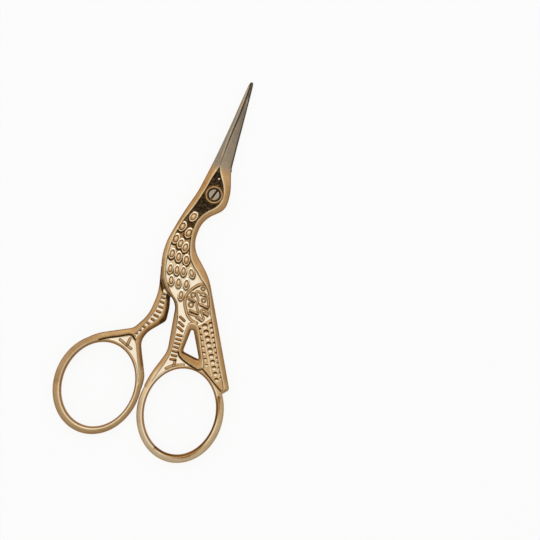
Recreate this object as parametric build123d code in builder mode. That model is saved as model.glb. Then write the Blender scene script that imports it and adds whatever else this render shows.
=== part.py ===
from build123d import *
from math import cos, hypot, radians, sin, tan
import os

os.makedirs("parts", exist_ok=True)

# Stork embroidery scissors, lying closed on their back.
# X runs across the bird from breast to tail, Y runs along the closed blades to their tips, Z is up.
# The origin is on the pivot axis, in the plane that the pair lies on.
# The front half carries the upper blade, the body, the wing, the tail, one leg and the right ring.
# The back half carries the lower blade, the hidden neck, the kneed leg and the left ring.

# Driving dimensions of the whole pair, in millimetres
blade_length = 35.4  # pivot axis to the tips
shank_length = 51.6  # pivot axis to the top of the finger holes
figure_width = 31.75  # breast to tail, which the outline's X shares follow
thickness = 3.6
lap_clearance = 0.05  # between the two flat inner faces
step_gap = 0.2  # between one half's lapped edge and the other half's full thickness
cut_overrun = 1.0

# Finger rings
ring_bore_width = 21.2
ring_bore_length = 25.8
ring_wire_width = 2.3
ring_gap = 0.2  # between the two rings, closed
ring_tilt = 5.0  # degrees that each ring's top leans in
ring_meet_share = -0.057  # place of the meeting line, of figure_width
ring_round_share = 0.38  # edge rounding, of the wire's width
wire_middle_share = 0.5
wire_rim_share = 0.6
wire_outside_share = 1.0

# Rims, panel and relief of the faces
rim_width = 0.9
rim_drop = 0.45
panel_depth = 0.35
scale_width = 1.5
scale_length = 2.7
scale_wall = 0.35
scale_height = 0.25
engraving_depth = 0.22
bar_width = 0.7
leg_bar_length = 2.4
wing_arc_radius = 5.7
wing_arc_start = 100.0  # degrees
wing_arc_sweep = 160.0
wing_stroke_width = 0.5
eyelet_diameter = 1.5
eyelet_wall = 0.35
quill_count = 9
quill_width = 0.8
quill_length = 2.0
quill_lean = 20.0
window_bevel_width = 0.8
window_bevel_drop = 0.6

# Blades
blade_ridge_rise = 1.7  # ridge above the flat inner face, where the blade leaves the head
blade_point_rise = 0.75
blade_spine_wall = 1.25  # height of the spine at the head, and at the point
blade_point_wall = 0.45
blade_edge_wall = 0.4  # height of the edge at the head, and at the point
blade_point_edge_wall = 0.12
blade_overhang = 0.27  # how far each spine stands proud of the other blade's edge
blade_point_width = 1.1
blade_nose_width = 0.4
blade_nose_length = 0.9
blade_ridge_share = 0.42
blade_root_share = 0.18
blade_bury_share = 0.015

# Pivot screw
screw_shank_diameter = 2.9
screw_running_clearance = 0.04  # radial, in the front half
screw_end_clearance = 0.04  # between the head and the floor of its seat
screw_head_diameter = 3.9
screw_head_height = 0.8
screw_seat_clearance = 0.15  # radial, round the head
screw_slot_width = 0.55
screw_slot_depth = 0.4
screw_slot_turn = 72.0  # degrees from X
screw_edge_break = 0.12
seat_collar_width = 0.6

middle_height = thickness / 2
front_inner_face = middle_height + lap_clearance / 2
back_inner_face = middle_height - lap_clearance / 2
ring_outer_width = ring_bore_width + 2 * ring_wire_width
ring_outer_length = ring_bore_length + 2 * ring_wire_width
seat_diameter = screw_head_diameter + 2 * screw_seat_clearance
collar_diameter = seat_diameter + 2 * seat_collar_width
seat_floor = thickness - screw_head_height - screw_end_clearance

# Outline corners: share of figure_width, share of shank_length, and the share of the shorter
# neighbouring side that the corner's rounding takes. Y shares are negative below the pivot.
nape_shares = [
    (0.150, 0.039, 0.45),
    (0.150, -0.062, 0.40),
    (-0.035, -0.161, 0.45),
    (-0.035, -0.322, 0.45),
    (0.195, -0.461, 0.30),
]
step_shares = (0.195, -0.461, 0.14)
breast_shares = [
    (-0.288, -0.421, 0.45),
    (-0.288, -0.328, 0.40),
    (-0.148, -0.004, 0.25),
]
root_right_share = 0.068
root_left_share = -0.106
crotch_shares = [
    (-0.013, -0.682, 0.40),
    (-0.050, -0.645, 0.40),
    (-0.145, -0.610, 0.40),
    (-0.217, -0.554, 0.00),
]
leg_crook_shares = (0.055, -0.938, 0.45)
kneed_leg_shares = [
    (-0.082, -0.640, 0.00),
    (-0.063, -0.698, 0.40),
    (-0.050, -0.777, 0.20),
    (-0.186, -0.872, 0.45),
    (-0.217, -0.930, 0.45),
]
hock_shares = [
    (-0.306, -0.878, 0.20),
    (-0.214, -0.775, 0.45),
    (-0.198, -0.630, 0.40),
]
window_shares = [
    (0.198, -0.773, 0.40),
    (0.230, -0.773, 0.40),
    (0.369, -0.926, 0.12),
    (0.189, -0.907, 0.12),
]
panel_shares = [
    (-0.039, 0.165, 0.00),
    (0.099, 0.029, 0.35),
    (0.099, -0.043, 0.35),
    (-0.070, -0.165, 0.40),
    (-0.080, -0.320, 0.40),
    (0.060, -0.420, 0.30),
    (0.030, -0.580, 0.30),
    (-0.080, -0.590, 0.30),
    (-0.240, -0.430, 0.30),
    (-0.245, -0.325, 0.40),
    (-0.115, 0.000, 0.20),
]
back_panel_shares = panel_shares[:5] + panel_shares[-3:]

# Where the legs and the tail run into the rings, in degrees from X round each ring
right_ring_turns = (31, 50, 70, 90, 110, 130, 150)
left_ring_turns = (30, 48, 66, 84, 103, 122)
tail_tip_turn = 34.8
tail_tip_share = 1.9  # of the wire's width, out from the bore
gusset_turn = 115.8
gusset_share = 1.2  # of the wire's width, out from the bore

# Places in the figure: share of figure_width, share of shank_length, and what follows
scale_shares = [
    (-0.107, -0.161, -22), (-0.176, -0.229, -15), (-0.113, -0.252, -12),
    (-0.199, -0.310, -8), (-0.151, -0.327, -5), (-0.094, -0.340, 5),
    (-0.190, -0.401, 0), (-0.123, -0.409, 12), (-0.047, -0.407, 18),
    (-0.168, -0.479, 12), (-0.110, -0.481, 12), (-0.038, -0.479, 15), (0.034, -0.469, 28),
    (-0.115, -0.540, 18), (-0.057, -0.547, 15), (0.016, -0.541, 12),
]
straight_leg_bar_shares = [
    (0.088, -0.736, 1.00, -24), (0.094, -0.765, 1.00, -24), (0.101, -0.793, 1.00, -24),
    (0.113, -0.829, 0.80, 4), (0.117, -0.853, 0.80, 4), (0.118, -0.876, 0.80, 4),
    (0.119, -0.899, 0.80, 4), (0.122, -0.924, 0.80, 4), (0.125, -0.950, 0.80, 6),
]
kneed_leg_bar_shares = [
    (-0.139, -0.680, 0.65, -6), (-0.139, -0.709, 0.75, -6), (-0.138, -0.740, 0.80, -8),
    (-0.148, -0.767, 0.80, -10), (-0.165, -0.795, 0.70, -12), (-0.190, -0.824, 0.65, -14),
    (-0.222, -0.849, 0.50, -18), (-0.246, -0.870, 0.45, -20), (-0.268, -0.895, 0.50, -24),
]
straight_leg_mark_shares = [(0.173, -1.005, 1.80, 27)]
kneed_leg_mark_shares = [(-0.341, -0.970, 1.70, -19)]
wing_centre_shares = (0.239, -0.620)
eyelet_shares = [(0.117, -0.583), (0.127, -0.640), (0.186, -0.545), (0.230, -0.591)]
wing_bar_shares = [
    (0.168, -0.677, 0.50, 2), (0.198, -0.648, 0.50, -72),
    (0.243, -0.632, 0.55, -4), (0.277, -0.661, 0.50, -38),
]
quill_start_shares = (0.330, -0.768)
quill_end_shares = (0.610, -0.992)


def figure_point(x_share, y_share):
    return (x_share * figure_width, y_share * shank_length)


def corner_radii(points, round_shares):
    """Each corner's radius, from the share of its shorter side that the rounding takes."""
    radii = []
    for i, corner in enumerate(points):
        arm_in = Vector(*points[i - 1]) - Vector(*corner)
        arm_out = Vector(*points[(i + 1) % len(points)]) - Vector(*corner)
        half_angle = radians(arm_in.get_angle(arm_out)) / 2
        radii.append(round_shares[i] * min(arm_in.length, arm_out.length) * tan(half_angle))
    return radii


def rounded_face(corners, mode=Mode.ADD):
    """A closed outline with a tangent arc in each corner, given as (point, rounding share)."""
    points = [point for point, _ in corners]
    radii = corner_radii(points, [share for _, share in corners])
    with BuildLine() as outline:
        FilletPolyline(*points, radius=radii, close=True)
    return make_face(outline.edges(), mode=mode)


def figure_corners(shares):
    return [(figure_point(x, y), share) for x, y, share in shares]


def ring_lean(side):
    return side * ring_tilt


def ring_centre(side):
    """Centre of the left (-1) or right (+1) ring, half the gap off the line where they meet."""
    reach = hypot(
        ring_outer_width / 2 * cos(radians(ring_tilt)),
        ring_outer_length / 2 * sin(radians(ring_tilt)),
    )
    x = ring_meet_share * figure_width + side * (ring_gap / 2 + reach)
    return (x, -shank_length - ring_bore_length / 2)


def ring_point(side, turn, wire_share):
    """A point wire_share of the way out through a ring's wire, turn degrees round from X."""
    x = (ring_bore_width / 2 + wire_share * ring_wire_width) * cos(radians(turn))
    y = (ring_bore_length / 2 + wire_share * ring_wire_width) * sin(radians(turn))
    lean = radians(ring_lean(side))
    centre_x, centre_y = ring_centre(side)
    return (
        centre_x + x * cos(lean) - y * sin(lean),
        centre_y + x * sin(lean) + y * cos(lean),
    )


def ring_corners(side, turns):
    """Corners along the middle of a ring's wire."""
    return [(ring_point(side, turn, wire_middle_share), 0) for turn in turns]


root_y = blade_root_share * shank_length
root_right = (root_right_share * figure_width, root_y)
root_left = (root_left_share * figure_width, root_y)


def rim_edges(flat, side):
    """The edges of an outline's flat that show: not those in a ring's wire, nor at the blade."""
    lean = radians(-ring_lean(side))
    centre_x, centre_y = ring_centre(side)
    edges = []
    for edge in flat.outer_wire().edges().sort_by(Axis.Y)[:-1]:
        place = edge.position_at(0.5)
        from_x, from_y = place.X - centre_x, place.Y - centre_y
        across = from_x * cos(lean) - from_y * sin(lean)
        along = from_x * sin(lean) + from_y * cos(lean)
        wire = wire_rim_share * ring_wire_width
        reach = hypot(across / (ring_bore_width / 2 + wire), along / (ring_bore_length / 2 + wire))
        if reach > 1:
            edges.append(edge)
    return edges


def front_outline():
    """Head, neck, body, wing, tail and straight leg, without the blade and the ring."""
    return rounded_face(
        [(root_right, 0)]
        + figure_corners(nape_shares)
        + [(ring_point(1, tail_tip_turn, tail_tip_share), 0)]
        + ring_corners(1, right_ring_turns)
        + figure_corners([leg_crook_shares])
        + figure_corners(crotch_shares)
        + figure_corners(breast_shares)
        + [(root_left, 0)]
    )


def back_outline():
    """Head, hidden neck and kneed leg, without the blade and the ring."""
    return rounded_face(
        [(root_right, 0)]
        + figure_corners(nape_shares[:-1])
        + figure_corners([step_shares])
        + figure_corners(kneed_leg_shares)
        + ring_corners(-1, left_ring_turns)
        + [(ring_point(-1, gusset_turn, gusset_share), 0)]
        + figure_corners(hock_shares)
        + figure_corners(breast_shares)
        + [(root_left, 0)]
    )


def ring_ellipse(side, wire_share):
    with Locations(ring_centre(side)):
        return Ellipse(
            ring_bore_width / 2 + wire_share * ring_wire_width,
            ring_bore_length / 2 + wire_share * ring_wire_width,
            rotation=ring_lean(side),
        )


def finger_ring(side):
    """A ring of wire with rounded edges, lying flat."""
    with BuildPart() as ring:
        with BuildSketch():
            ring_ellipse(side, wire_outside_share)
        extrude(amount=thickness)
        with BuildSketch():
            ring_ellipse(side, 0)
        extrude(amount=thickness, mode=Mode.SUBTRACT)
        flats = ring.faces().filter_by(Axis.Z)
        fillet(flats.edges(), radius=ring_round_share * ring_wire_width)
    return ring.part


def blade_stations(mirrored):
    """Where a blade's section is drawn: y, spine x, edge x and heights of ridge, spine and edge."""
    half_point = blade_point_width / 2
    half_nose = blade_nose_width / 2
    nose_y = blade_length - blade_nose_length
    buried_y = root_y - blade_bury_share * blade_length
    if mirrored:
        root_spine, root_edge = root_right[0], root_left[0] + blade_overhang
        point_spine, point_edge = half_point + blade_overhang / 2, -half_point + blade_overhang / 2
        nose_spine, nose_edge = half_nose, -half_nose
    else:
        root_spine, root_edge = root_left[0], root_right[0] - blade_overhang
        point_spine, point_edge = -half_point - blade_overhang / 2, half_point - blade_overhang / 2
        nose_spine, nose_edge = -half_nose, half_nose
    at_root = (blade_ridge_rise, blade_spine_wall, blade_edge_wall)
    at_point = (blade_point_rise, blade_point_wall, blade_point_edge_wall)
    at_nose = (blade_point_wall, blade_point_edge_wall, blade_point_edge_wall)
    return [
        (buried_y, root_spine, root_edge, at_root),
        (root_y, root_spine, root_edge, at_root),
        (nose_y, point_spine, point_edge, at_point),
        (blade_length, nose_spine, nose_edge, at_nose),
    ]


def blade_section(spine_x, edge_x, heights, inner_face, upward):
    """Flat inner face, spine wall, ridge and thin edge, as a section across the blade."""
    ridge, spine, edge = heights
    ridge_x = spine_x + blade_ridge_share * (edge_x - spine_x)
    Polygon(
        (spine_x, inner_face),
        (spine_x, inner_face + upward * spine),
        (ridge_x, inner_face + upward * ridge),
        (edge_x, inner_face + upward * edge),
        (edge_x, inner_face),
        align=None,
    )


def leaning(x_share, y_share, lean):
    return Locations(Location((*figure_point(x_share, y_share), 0), (0, 0, lean)))


def bars(shares):
    for x, y, length_share, lean in shares:
        with leaning(x, y, lean):
            SlotOverall(length_share * leg_bar_length, bar_width)


def scale_rims():
    for x, y, lean in scale_shares:
        with leaning(x, y, lean):
            Ellipse(scale_width / 2, scale_length / 2)
    for x, y, lean in scale_shares:
        with leaning(x, y, lean):
            Ellipse(scale_width / 2 - scale_wall, scale_length / 2 - scale_wall, mode=Mode.SUBTRACT)


def eyelets():
    places = [figure_point(x, y) for x, y in eyelet_shares]
    with Locations(*places):
        Circle(eyelet_diameter / 2)
    with Locations(*places):
        Circle(eyelet_diameter / 2 - eyelet_wall, mode=Mode.SUBTRACT)


def wing_strokes():
    with BuildLine() as stroke:
        CenterArc(figure_point(*wing_centre_shares), wing_arc_radius, wing_arc_start, wing_arc_sweep)
    SlotArc(stroke.edge(), wing_stroke_width)
    for x, y, length_share, lean in wing_bar_shares:
        with leaning(x, y, lean):
            SlotOverall(length_share * leg_bar_length, wing_stroke_width)


def quills():
    """A row of ovals down the middle of the tail."""
    start = Vector(*figure_point(*quill_start_shares))
    row = Vector(*figure_point(*quill_end_shares)) - start
    for i in range(quill_count):
        place = start + row * (i / (quill_count - 1))
        with Locations(Location((place.X, place.Y, 0), (0, 0, quill_lean))):
            Ellipse(quill_length / 2, quill_width / 2)


right_ring = finger_ring(1)
left_ring = finger_ring(-1)

# Front half
with BuildPart() as front_half:
    with BuildSketch():
        front_outline()
        rounded_face(figure_corners(window_shares), mode=Mode.SUBTRACT)
    extrude(amount=thickness)
    # bevelled rims and window, below and above
    for level in (0, -1):
        flat = front_half.faces().filter_by(Axis.Z).sort_by(Axis.Z)[level]
        window_edges = flat.inner_wires().edges()
        chamfer(window_edges, window_bevel_width, window_bevel_drop, reference=flat)
    for level in (0, -1):
        flat = front_half.faces().filter_by(Axis.Z).sort_by(Axis.Z)[level]
        chamfer(rim_edges(flat, 1), rim_width, rim_drop, reference=flat)
    # the lap that the back half lies in
    with BuildSketch(Plane.XY.offset(-cut_overrun)):
        back_outline()
        offset(amount=step_gap)
    extrude(amount=front_inner_face + cut_overrun, mode=Mode.SUBTRACT)
    # sunk panel of head and breast, with the scales standing in it
    with BuildSketch(Plane.XY.offset(thickness - panel_depth)):
        rounded_face(figure_corners(panel_shares))
        Circle(collar_diameter / 2, mode=Mode.SUBTRACT)
    extrude(amount=panel_depth + cut_overrun, mode=Mode.SUBTRACT)
    with BuildSketch(Plane.XY.offset(thickness - panel_depth - scale_height)):
        scale_rims()
    extrude(amount=2 * scale_height)
    # engraved wing, quills and leg bars
    with BuildSketch(Plane.XY.offset(thickness - engraving_depth)):
        eyelets()
        wing_strokes()
        quills()
        bars(straight_leg_bar_shares + straight_leg_mark_shares)
    extrude(amount=engraving_depth + cut_overrun, mode=Mode.SUBTRACT)
    with BuildSketch(Plane.XY.offset(-cut_overrun)):
        quills()
        bars(straight_leg_bar_shares + straight_leg_mark_shares)
    extrude(amount=engraving_depth + cut_overrun, mode=Mode.SUBTRACT)
    # blade
    for y, spine_x, edge_x, heights in blade_stations(mirrored=False):
        with BuildSketch(Plane.XZ.offset(-y)):
            blade_section(spine_x, edge_x, heights, front_inner_face, 1)
    loft(ruled=True)
    add(right_ring)
    with Locations((0, 0, thickness)):
        CounterBoreHole(
            radius=screw_shank_diameter / 2 + screw_running_clearance,
            counter_bore_radius=seat_diameter / 2,
            counter_bore_depth=thickness - seat_floor,
        )
front_half.part.label = "front_half"

# Back half
with BuildPart() as back_half:
    with BuildSketch():
        back_outline()
    extrude(amount=thickness)
    for level in (0, -1):
        flat = back_half.faces().filter_by(Axis.Z).sort_by(Axis.Z)[level]
        chamfer(rim_edges(flat, -1), rim_width, rim_drop, reference=flat)
    # the lap that the front half lies in
    with BuildSketch(Plane.XY.offset(back_inner_face)):
        front_outline()
        offset(amount=step_gap)
    extrude(amount=thickness, mode=Mode.SUBTRACT)
    # sunk panel and scales of the underside
    with BuildSketch(Plane.XY.offset(-cut_overrun)):
        rounded_face(figure_corners(back_panel_shares))
        Circle(collar_diameter / 2, mode=Mode.SUBTRACT)
    extrude(amount=panel_depth + cut_overrun, mode=Mode.SUBTRACT)
    with BuildSketch(Plane.XY.offset(panel_depth - scale_height)):
        scale_rims()
    extrude(amount=2 * scale_height)
    # engraved leg bars, below and above
    with BuildSketch(Plane.XY.offset(-cut_overrun)):
        bars(kneed_leg_bar_shares + kneed_leg_mark_shares)
    extrude(amount=engraving_depth + cut_overrun, mode=Mode.SUBTRACT)
    with BuildSketch(Plane.XY.offset(thickness - engraving_depth)):
        bars(kneed_leg_bar_shares + kneed_leg_mark_shares)
    extrude(amount=engraving_depth + cut_overrun, mode=Mode.SUBTRACT)
    # blade
    for y, spine_x, edge_x, heights in blade_stations(mirrored=True):
        with BuildSketch(Plane.XZ.offset(-y)):
            blade_section(spine_x, edge_x, heights, back_inner_face, -1)
    loft(ruled=True)
    add(left_ring)
    with Locations((0, 0, back_inner_face)):
        Hole(screw_shank_diameter / 2)
back_half.part.label = "back_half"

# Pivot screw
with BuildPart() as pivot_screw:
    with BuildSketch():
        Circle(screw_shank_diameter / 2)
    extrude(amount=thickness - screw_head_height)
    with BuildSketch(Plane.XY.offset(thickness - screw_head_height)):
        Circle(screw_head_diameter / 2)
    extrude(amount=screw_head_height)
    head_rim = pivot_screw.faces().sort_by(Axis.Z)[-1].edges()
    chamfer(head_rim, length=screw_edge_break)
    with BuildSketch(Plane.XY.offset(thickness - screw_slot_depth)):
        Rectangle(screw_head_diameter, screw_slot_width, rotation=screw_slot_turn)
    extrude(amount=screw_slot_depth, mode=Mode.SUBTRACT)
pivot_screw.part.label = "pivot_screw"

export_step(front_half.part, "parts/front_half.step")
export_step(back_half.part, "parts/back_half.step")
export_step(pivot_screw.part, "parts/pivot_screw.step")
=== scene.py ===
from math import cos, hypot, pi, radians, sin

import bpy
import numpy as np
from mathutils import Matrix, Vector
from mathutils.geometry import delaunay_2d_cdt


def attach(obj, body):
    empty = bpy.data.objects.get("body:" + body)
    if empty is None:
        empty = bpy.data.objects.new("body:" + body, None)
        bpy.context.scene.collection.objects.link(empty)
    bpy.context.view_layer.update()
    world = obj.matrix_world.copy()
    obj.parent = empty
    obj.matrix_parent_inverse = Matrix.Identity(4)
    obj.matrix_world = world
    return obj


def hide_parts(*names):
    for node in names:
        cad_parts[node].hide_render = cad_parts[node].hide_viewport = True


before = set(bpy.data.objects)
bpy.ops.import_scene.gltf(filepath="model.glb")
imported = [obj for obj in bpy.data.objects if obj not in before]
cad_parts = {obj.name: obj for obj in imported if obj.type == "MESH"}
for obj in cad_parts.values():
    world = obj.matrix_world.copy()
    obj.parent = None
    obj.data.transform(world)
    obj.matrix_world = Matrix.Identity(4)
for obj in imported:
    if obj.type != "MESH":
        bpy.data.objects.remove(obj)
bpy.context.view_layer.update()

# Sizes in millimetres, in the frame of the CAD: pivot at the origin, Y to the tips, Z up.
MM = 0.001
WIDE = 31.75
LONG = 51.6
THICK = 3.6
FRONT_INNER = 1.825
BACK_INNER = 1.775
STEP_GAP = 0.2
BORE_X = 10.6
BORE_Y = 12.9
WIRE = 2.3
LEAN = 5.0
CREST = 0.31
RECESS = 0.36
OUTER = 0.995
SEAT_RADIUS = 2.11
SEAT_FLOOR = 2.76
BLADE_START = 8.0
TIP_Y = 35.4
GLINT = np.array([-0.14, 4.95])

# How finely the faces are laid out: grid steps, and rows beside edges, fields, ridge and boss
FIELD_STEP = 0.125
PANEL_STEP = 0.26
PLAIN_STEP = 0.42
EDGE_ROWS = (0.05, 0.13, 0.24, 0.40, 0.62)
FIELD_ROWS = (-0.12, 0.0, 0.10, 0.20, 0.30)
RIDGE_ROWS = (-0.46, -0.32, -0.20, -0.09, 0, 0.09, 0.20, 0.32, 0.46)
BOSS_RADII = (2.20, 2.34, 2.41, 2.47, 2.53, 2.60, 2.70, 2.77, 2.86)

# The finger rings' bores lie a little off the middle of their rings
BORE_SHIFT = {1: np.array([-0.15, 0.20]), -1: np.array([0.28, 0.10])}


# Lines and outlines

def unit(v):
    return v / np.hypot(*v)


def resampled(points, step, closed=False):
    pts = np.array(points, float)
    if closed:
        pts = np.vstack([pts, pts[:1]])
    gaps = np.hypot(*np.diff(pts, axis=0).T)
    keep = np.r_[True, gaps > 1e-6]
    pts = pts[keep]
    along = np.r_[0, np.cumsum(np.hypot(*np.diff(pts, axis=0).T))]
    count = max(2, int(round(along[-1] / step)) + 1)
    at = np.linspace(0, along[-1], count)
    out = np.c_[np.interp(at, along, pts[:, 0]), np.interp(at, along, pts[:, 1])]
    return out[:-1] if closed else out


def curve(points, step=0.2):
    """A smooth run through the points."""
    pts = np.array(points, float)
    ends = np.vstack([2 * pts[0] - pts[1], pts, 2 * pts[-1] - pts[-2]])
    out = []
    for i in range(len(pts) - 1):
        a, b, c, d = ends[i:i + 4]
        t = np.linspace(0, 1, max(3, int(np.hypot(*(c - b)) / 0.05)), endpoint=False)[:, None]
        out.append(0.5 * (2 * b + (c - a) * t + (2 * a - 5 * b + 4 * c - d) * t ** 2
                          + (-a + 3 * b - 3 * c + d) * t ** 3))
    out.append(pts[-1:])
    return resampled(np.vstack(out), step)


def loop_of(*runs):
    """A closed loop of smooth runs with sharp corners between them."""
    out = []
    for run in runs:
        line = curve(run) if len(run) > 1 else np.array(run, float)
        if out and np.hypot(*(out[-1][-1] - line[0])) < 0.05:
            line = line[1:]
        out.append(line)
    pts = np.vstack(out)
    if np.hypot(*(pts[0] - pts[-1])) < 0.05:
        pts = pts[:-1]
    closed = np.vstack([pts, pts[:1]])
    pieces = []
    for a, b in zip(closed[:-1], closed[1:]):
        n = max(1, int(np.hypot(*(b - a)) / 0.25))
        pieces.append(a + (b - a) * (np.arange(n) / n)[:, None])
    return np.vstack(pieces)


def rounded(corners, step=0.2):
    """A closed outline with an arc in each corner, given as x, y and the share of the shorter side."""
    pts = np.array([c[:2] for c in corners], float)
    out = []
    for i, corner in enumerate(pts):
        before, after = pts[i - 1] - corner, pts[(i + 1) % len(pts)] - corner
        reach = corners[i][2] * min(np.hypot(*before), np.hypot(*after))
        if reach < 1e-3:
            out.append(corner[None])
            continue
        u, v = unit(before), unit(after)
        angle = np.arccos(np.clip(u @ v, -1, 1))
        radius = reach * np.tan(angle / 2)
        middle = corner + unit(u + v) * reach / cos(angle / 2)
        a, b = corner + u * reach - middle, corner + v * reach - middle
        sweep = pi - angle
        n = max(3, int(sweep * radius / 0.12))
        t = np.linspace(0, 1, n)[:, None]
        out.append(middle + (np.sin((1 - t) * sweep) * a + np.sin(t * sweep) * b) / sin(sweep))
    return counter_clockwise(resampled(np.vstack(out), step, closed=True))


def ring_centre(side):
    reach = hypot((BORE_X + WIRE) * cos(radians(LEAN)), (BORE_Y + WIRE) * sin(radians(LEAN)))
    return np.array([-0.057 * WIDE + side * (STEP_GAP / 2 + reach), -LONG - BORE_Y])


def ring_points(side, turns, share):
    turns = np.radians(np.atleast_1d(turns))
    x = (BORE_X + share * WIRE) * np.cos(turns)
    y = (BORE_Y + share * WIRE) * np.sin(turns)
    lean = radians(side * LEAN)
    middle = ring_centre(side) + BORE_SHIFT[side] * max(0.0, 1 - share)
    return middle + np.c_[x * cos(lean) - y * sin(lean), x * sin(lean) + y * cos(lean)]


def ring_loop(side, share, step=0.3):
    return resampled(ring_points(side, np.linspace(0, 360, 721)[:-1], share), step, closed=True)


def circle(radius, count):
    a = np.linspace(0, 2 * pi, count, endpoint=False)
    return np.c_[radius * np.cos(a), radius * np.sin(a)]


def tiles(points, size=3.0):
    """Groups of neighbouring points, with the middle of each group and its reach."""
    if not len(points):
        return
    cell = np.floor((points - points.min(0)) / size).astype(int)
    key = cell[:, 0] * 100000 + cell[:, 1]
    order = np.argsort(key, kind="stable")
    for group in np.split(order, np.flatnonzero(np.diff(key[order])) + 1):
        middle = (points[group].min(0) + points[group].max(0)) / 2
        yield group, middle, np.hypot(*(points[group] - middle).T).max()


def to_segments(points, a, b):
    e = b - a
    length = np.maximum((e * e).sum(1), 1e-12)
    d = points[:, None, :] - a
    t = np.clip((d * e).sum(2) / length, 0, 1)
    d -= t[..., None] * e
    return np.sqrt((d * d).sum(2))


def crossings(points, a, b):
    x, y = points[:, 0, None], points[:, 1, None]
    spans = (a[:, 1] > y) != (b[:, 1] > y)
    rise = np.where(b[:, 1] == a[:, 1], 1e-12, b[:, 1] - a[:, 1])
    left = x < a[:, 0] + (y - a[:, 1]) * (b[:, 0] - a[:, 0]) / rise
    return ((spans & left).sum(1) % 2).astype(bool)


def inside(points, loop):
    a, b = loop, np.roll(loop, -1, axis=0)
    odd = np.zeros(len(points), bool)
    for group, middle, reach in tiles(points):
        if to_segments(middle[None], a, b).min() > reach:
            odd[group] = crossings(middle[None], a, b)[0]
        else:
            odd[group] = crossings(points[group], a, b)
    return odd


def distance(points, lines, closed=True):
    """Distance from each point to the nearest of several lines."""
    a, b = [], []
    for line in lines:
        a.append(line if closed else line[:-1])
        b.append(np.roll(line, -1, axis=0) if closed else line[1:])
    a, b = np.vstack(a), np.vstack(b)
    out = np.empty(len(points))
    for group, middle, reach in tiles(points):
        far = to_segments(middle[None], a, b)[0]
        near = far <= far.min() + 2 * reach + 1e-6
        for lo in range(0, len(group), 1500):
            part = group[lo:lo + 1500]
            out[part] = to_segments(points[part], a[near], b[near]).min(1)
    return out


def smooth(low, high, x):
    t = np.clip((x - low) / (high - low), 0, 1)
    return t * t * (3 - 2 * t)


def union_loops(added, cut):
    """The outer loops and holes of overlapping outlines."""
    verts, faces = [], []
    for loop in map(counter_clockwise, added + cut):
        faces.append(list(range(len(verts), len(verts) + len(loop))))
        verts += [Vector(p) for p in loop.tolist()]
    co, _, tris, _, _, source = delaunay_2d_cdt(verts, [], faces, 1, 1e-5)
    co = np.array([p[:] for p in co])
    kept = [t for t, s in zip(tris, source) if all(f < len(added) for f in s)]
    used = {}
    for t in kept:
        for i in range(3):
            used[(t[i], t[(i + 1) % 3])] = True
    onward = {a: b for a, b in used if (b, a) not in used}
    loops = []
    while onward:
        start = next(iter(onward))
        loop, at = [], start
        while at in onward:
            loop.append(at)
            at = onward.pop(at)
        loops.append(co[loop])
    loops.sort(key=lambda q: -np.ptp(q[:, 0]) * np.ptp(q[:, 1]))
    return [tidy_loop(q) for q in loops if len(q) > 5]


def tidy_loop(loop):
    """Drops points that lie almost on their neighbours."""
    gaps = np.hypot(*(loop - np.roll(loop, 1, axis=0)).T)
    return loop[gaps > 0.03]


def normals(loop):
    """Unit normals to the left of a loop's direction, into the metal."""
    along = np.roll(loop, -1, axis=0) - np.roll(loop, 1, axis=0)
    along /= np.maximum(np.hypot(*along.T), 1e-9)[:, None]
    return np.c_[-along[:, 1], along[:, 0]]


def counter_clockwise(loop):
    x, y = loop.T
    area = (x * np.roll(y, -1) - y * np.roll(x, -1)).sum()
    return loop if area > 0 else loop[::-1]


def hexagons(low, high, step):
    xs = np.arange(low[0], high[0], step)
    ys = np.arange(low[1], high[1], step * 0.866)
    x, y = np.meshgrid(xs, ys)
    x[1::2] += step / 2
    return np.c_[x.ravel(), y.ravel()]


# Outlines of the two halves, close to those of the CAD, in shares of WIDE and LONG

nape = [(0.143, 0.039, 0.45), (0.145, -0.062, 0.40), (-0.029, -0.161, 0.45),
        (-0.035, -0.322, 0.45), (0.205, -0.461, 0.30)]
breast = [(-0.281, -0.425, 0.45), (-0.282, -0.332, 0.40), (-0.227, -0.165, 0.45),
          (-0.151, -0.004, 0.25)]
crotch = [(-0.047, -1.168, 0.10), (-0.031, -1.108, 0.30), (-0.009, -1.058, 0.30),
          (0.018, -1.010, 0.30), (0.055, -0.938, 0.45), (-0.007, -0.682, 0.40),
          (-0.050, -0.645, 0.40), (-0.145, -0.610, 0.40), (-0.217, -0.554, 0.00)]
kneed_leg = [(-0.082, -0.640, 0.00), (-0.057, -0.698, 0.40), (-0.046, -0.777, 0.20),
             (-0.180, -0.872, 0.45), (-0.209, -0.936, 0.45), (-0.154, -1.012, 0.30),
             (-0.109, -1.068, 0.30), (-0.068, -1.124, 0.30), (-0.061, -1.190, 0.10)]
hock = [(-0.313, -0.873, 0.20), (-0.219, -0.772, 0.45), (-0.200, -0.630, 0.40)]
window_corners = [(0.203, -0.778, 0.40), (0.226, -0.778, 0.40),
                  (0.362, -0.927, 0.12), (0.193, -0.911, 0.12)]
root_right = (0.068 * WIDE, 0.18 * LONG, 0)
root_left = (-0.106 * WIDE, 0.18 * LONG, 0)


def placed(shares):
    return [(x * WIDE, y * LONG, share) for x, y, share in shares]


def along_ring(side, turns):
    return [(x, y, 0) for x, y in ring_points(side, turns, 0.5)]


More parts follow.
